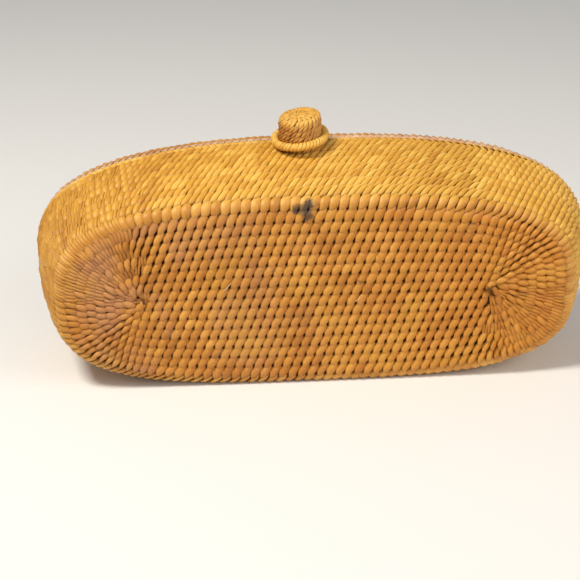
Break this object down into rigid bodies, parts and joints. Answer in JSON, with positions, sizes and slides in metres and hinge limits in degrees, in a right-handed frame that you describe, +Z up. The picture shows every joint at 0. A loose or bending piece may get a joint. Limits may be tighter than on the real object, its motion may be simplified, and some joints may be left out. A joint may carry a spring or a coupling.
{
  "type": "clutch purse",
  "caption": "Oval coiled-rattan clutch purse with a deep front half, a shallow hinged back half, a woven knob on top and a wrapped closure loop.",
  "frame": {"origin": "centre of the purse's footprint, on the surface it stands on", "axes": "+X along the length, to the right as seen from the front; -Y towards the front face, +Y towards the back half; +Z up, towards the knob"},
  "size_m": [0.2222, 0.058, 0.1019],
  "materials": {
    "front_weave": "satin rattan, golden brown",
    "front_rim_coil": "satin rattan",
    "front_cloth": "matt cotton",
    "core_wood": "raw",
    "knob_weave": "satin rattan, browner",
    "tie_cord": "matt cord",
    "back_weave": "satin rattan, golden brown",
    "back_rim_coil": "satin rattan",
    "back_cloth": "matt cotton",
    "loop_cord": "raw rattan",
    "loop_strip": "satin rattan strip",
    "lashing_strip": "satin rattan strip",
    "hinge_front_strip": "satin rattan strip",
    "hinge_back_strip": "satin rattan strip",
    "pin_rattan": "raw rattan rod"
  },
  "bodies": {
    "front_half": {"front_shell": "front_weave", "front_rim": "front_rim_coil", "front_lining": "front_cloth", "knob_core": "core_wood", "knob_cover": "knob_weave", "knob_tie": "tie_cord", "hinge_front_loops": "hinge_front_strip", "hinge_pins": "pin_rattan"},
    "back_half": {"back_shell": "back_weave", "back_rim": "back_rim_coil", "back_lining": "back_cloth", "loop_lashing": "lashing_strip", "hinge_back_loops": "hinge_back_strip"},
    "closure_loop": {"closure_loop_core": "loop_cord", "closure_loop_wrap": "loop_strip"}
  },
  "joints": [
    {"name": "back_opening", "type": "hinge", "parent": "front_half", "child": "back_half", "pos_m": [0, 0.014, 0.00195], "axis": [-1, 0, 0], "range_deg": [0, 100]},
    {"name": "loop_lift", "type": "hinge", "parent": "back_half", "child": "closure_loop", "pos_m": [-0.004, 0.01739, 0.09185], "axis": [-1, 0, 0], "range_deg": [0, 150], "deforming": ["closure_loop_core", "closure_loop_wrap"]}
  ]
}
